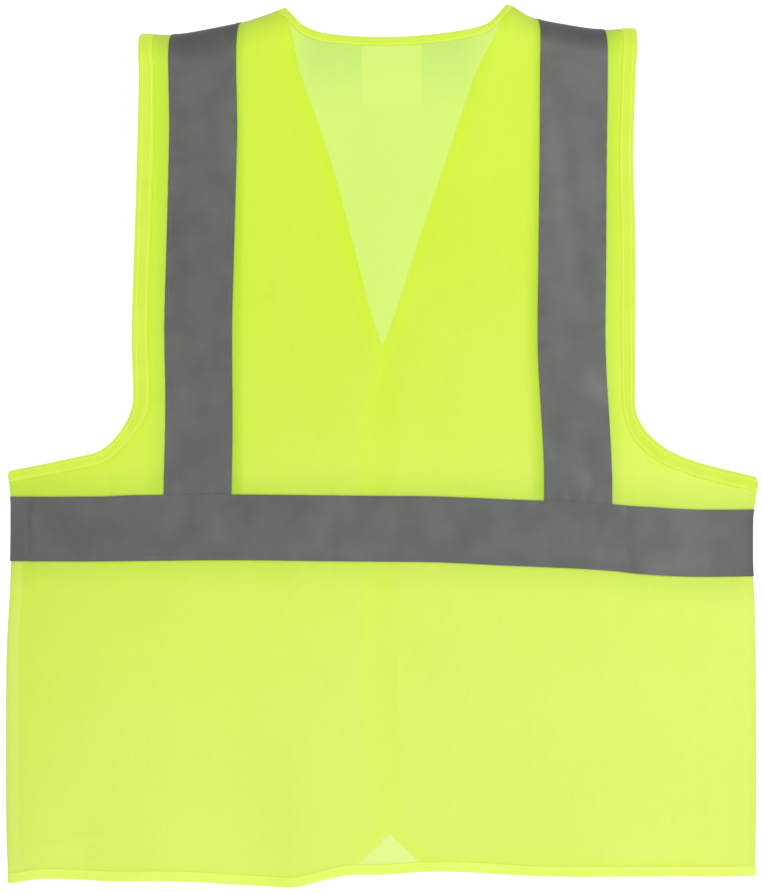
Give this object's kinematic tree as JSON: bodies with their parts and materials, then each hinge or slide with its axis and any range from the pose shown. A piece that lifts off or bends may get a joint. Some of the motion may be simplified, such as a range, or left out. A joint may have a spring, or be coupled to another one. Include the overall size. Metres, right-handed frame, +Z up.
{
  "type": "high visibility vest",
  "caption": "Sleeveless fluorescent yellow mesh-knit safety vest with grey retroreflective waist and shoulder tapes, V neck, and a lapped front that opens on hook-and-loop patches.",
  "frame": {"origin": "midway between the two neck points, at the level where the shoulders rest on a hanger", "axes": "+Z up, +Y the way the wearer faces, so the back panel is on the -Y side; +X is the wearer's right"},
  "size_m": [0.5632, 0.0527, 0.658],
  "materials": {
    "fluorescent_knit": "thin warp-knit polyester, fluorescent yellow, slightly see-through",
    "reflective_tape": "grey retroreflective glass-bead tape, satin",
    "edge_binding": "folded woven binding tape, fluorescent yellow, matt",
    "seam_allowance": "overlocked raw edges of the knit",
    "hook_tape": "stiff hook tape, yellow",
    "loop_tape": "brushed loop tape, yellow",
    "label_ribbon": "white satin label ribbon, blank"
  },
  "bodies": {
    "vest_body": {"back_hem_binding": "edge_binding", "back_panel": "fluorescent_knit", "label_seam": "label_ribbon", "left_armhole_binding": "edge_binding", "left_brace_tape": "reflective_tape", "left_front_side_panel": "fluorescent_knit", "left_shoulder_seam": "seam_allowance", "left_side_hem_binding": "edge_binding", "left_side_seam": "seam_allowance", "left_waist_tape_side": "reflective_tape", "neck_binding": "edge_binding", "right_armhole_binding": "edge_binding", "right_brace_tape": "reflective_tape", "right_front_side_panel": "fluorescent_knit", "right_shoulder_seam": "seam_allowance", "right_side_hem_binding": "edge_binding", "right_side_seam": "seam_allowance", "right_waist_tape_side": "reflective_tape", "waist_tape_back": "reflective_tape"},
    "left_front": {"left_flap_hem_binding": "edge_binding", "left_flap_waist_tape": "reflective_tape", "left_front_edge_binding": "edge_binding", "left_front_flap": "fluorescent_knit", "upper_hook_patch": "hook_tape", "lower_hook_patch": "hook_tape"},
    "right_front": {"right_flap_hem_binding": "edge_binding", "right_flap_waist_tape": "reflective_tape", "right_front_edge_binding": "edge_binding", "right_front_flap": "fluorescent_knit", "upper_loop_patch": "loop_tape", "lower_loop_patch": "loop_tape"},
    "care_label": {"care_label": "label_ribbon"}
  },
  "joints": [
    {"name": "left_front_open", "type": "hinge", "parent": "vest_body", "child": "left_front", "pos_m": [-0.084, 0.0285, -0.03], "axis": [0.0414, 0, 0.9991], "range_deg": [0, 160]},
    {"name": "right_front_open", "type": "hinge", "parent": "vest_body", "child": "right_front", "pos_m": [0.084, 0.025, -0.03], "axis": [0.0414, 0, -0.9991], "range_deg": [0, 130]},
    {"name": "care_label_swing", "type": "hinge", "parent": "vest_body", "child": "care_label", "pos_m": [0, -0.02275, -0.02885], "axis": [1, 0, 0], "range_deg": [0, 120]}
  ],
  "couplings": [
    {"joint": "right_front_open", "follows": "left_front_open", "ratio": 0.8}
  ]
}
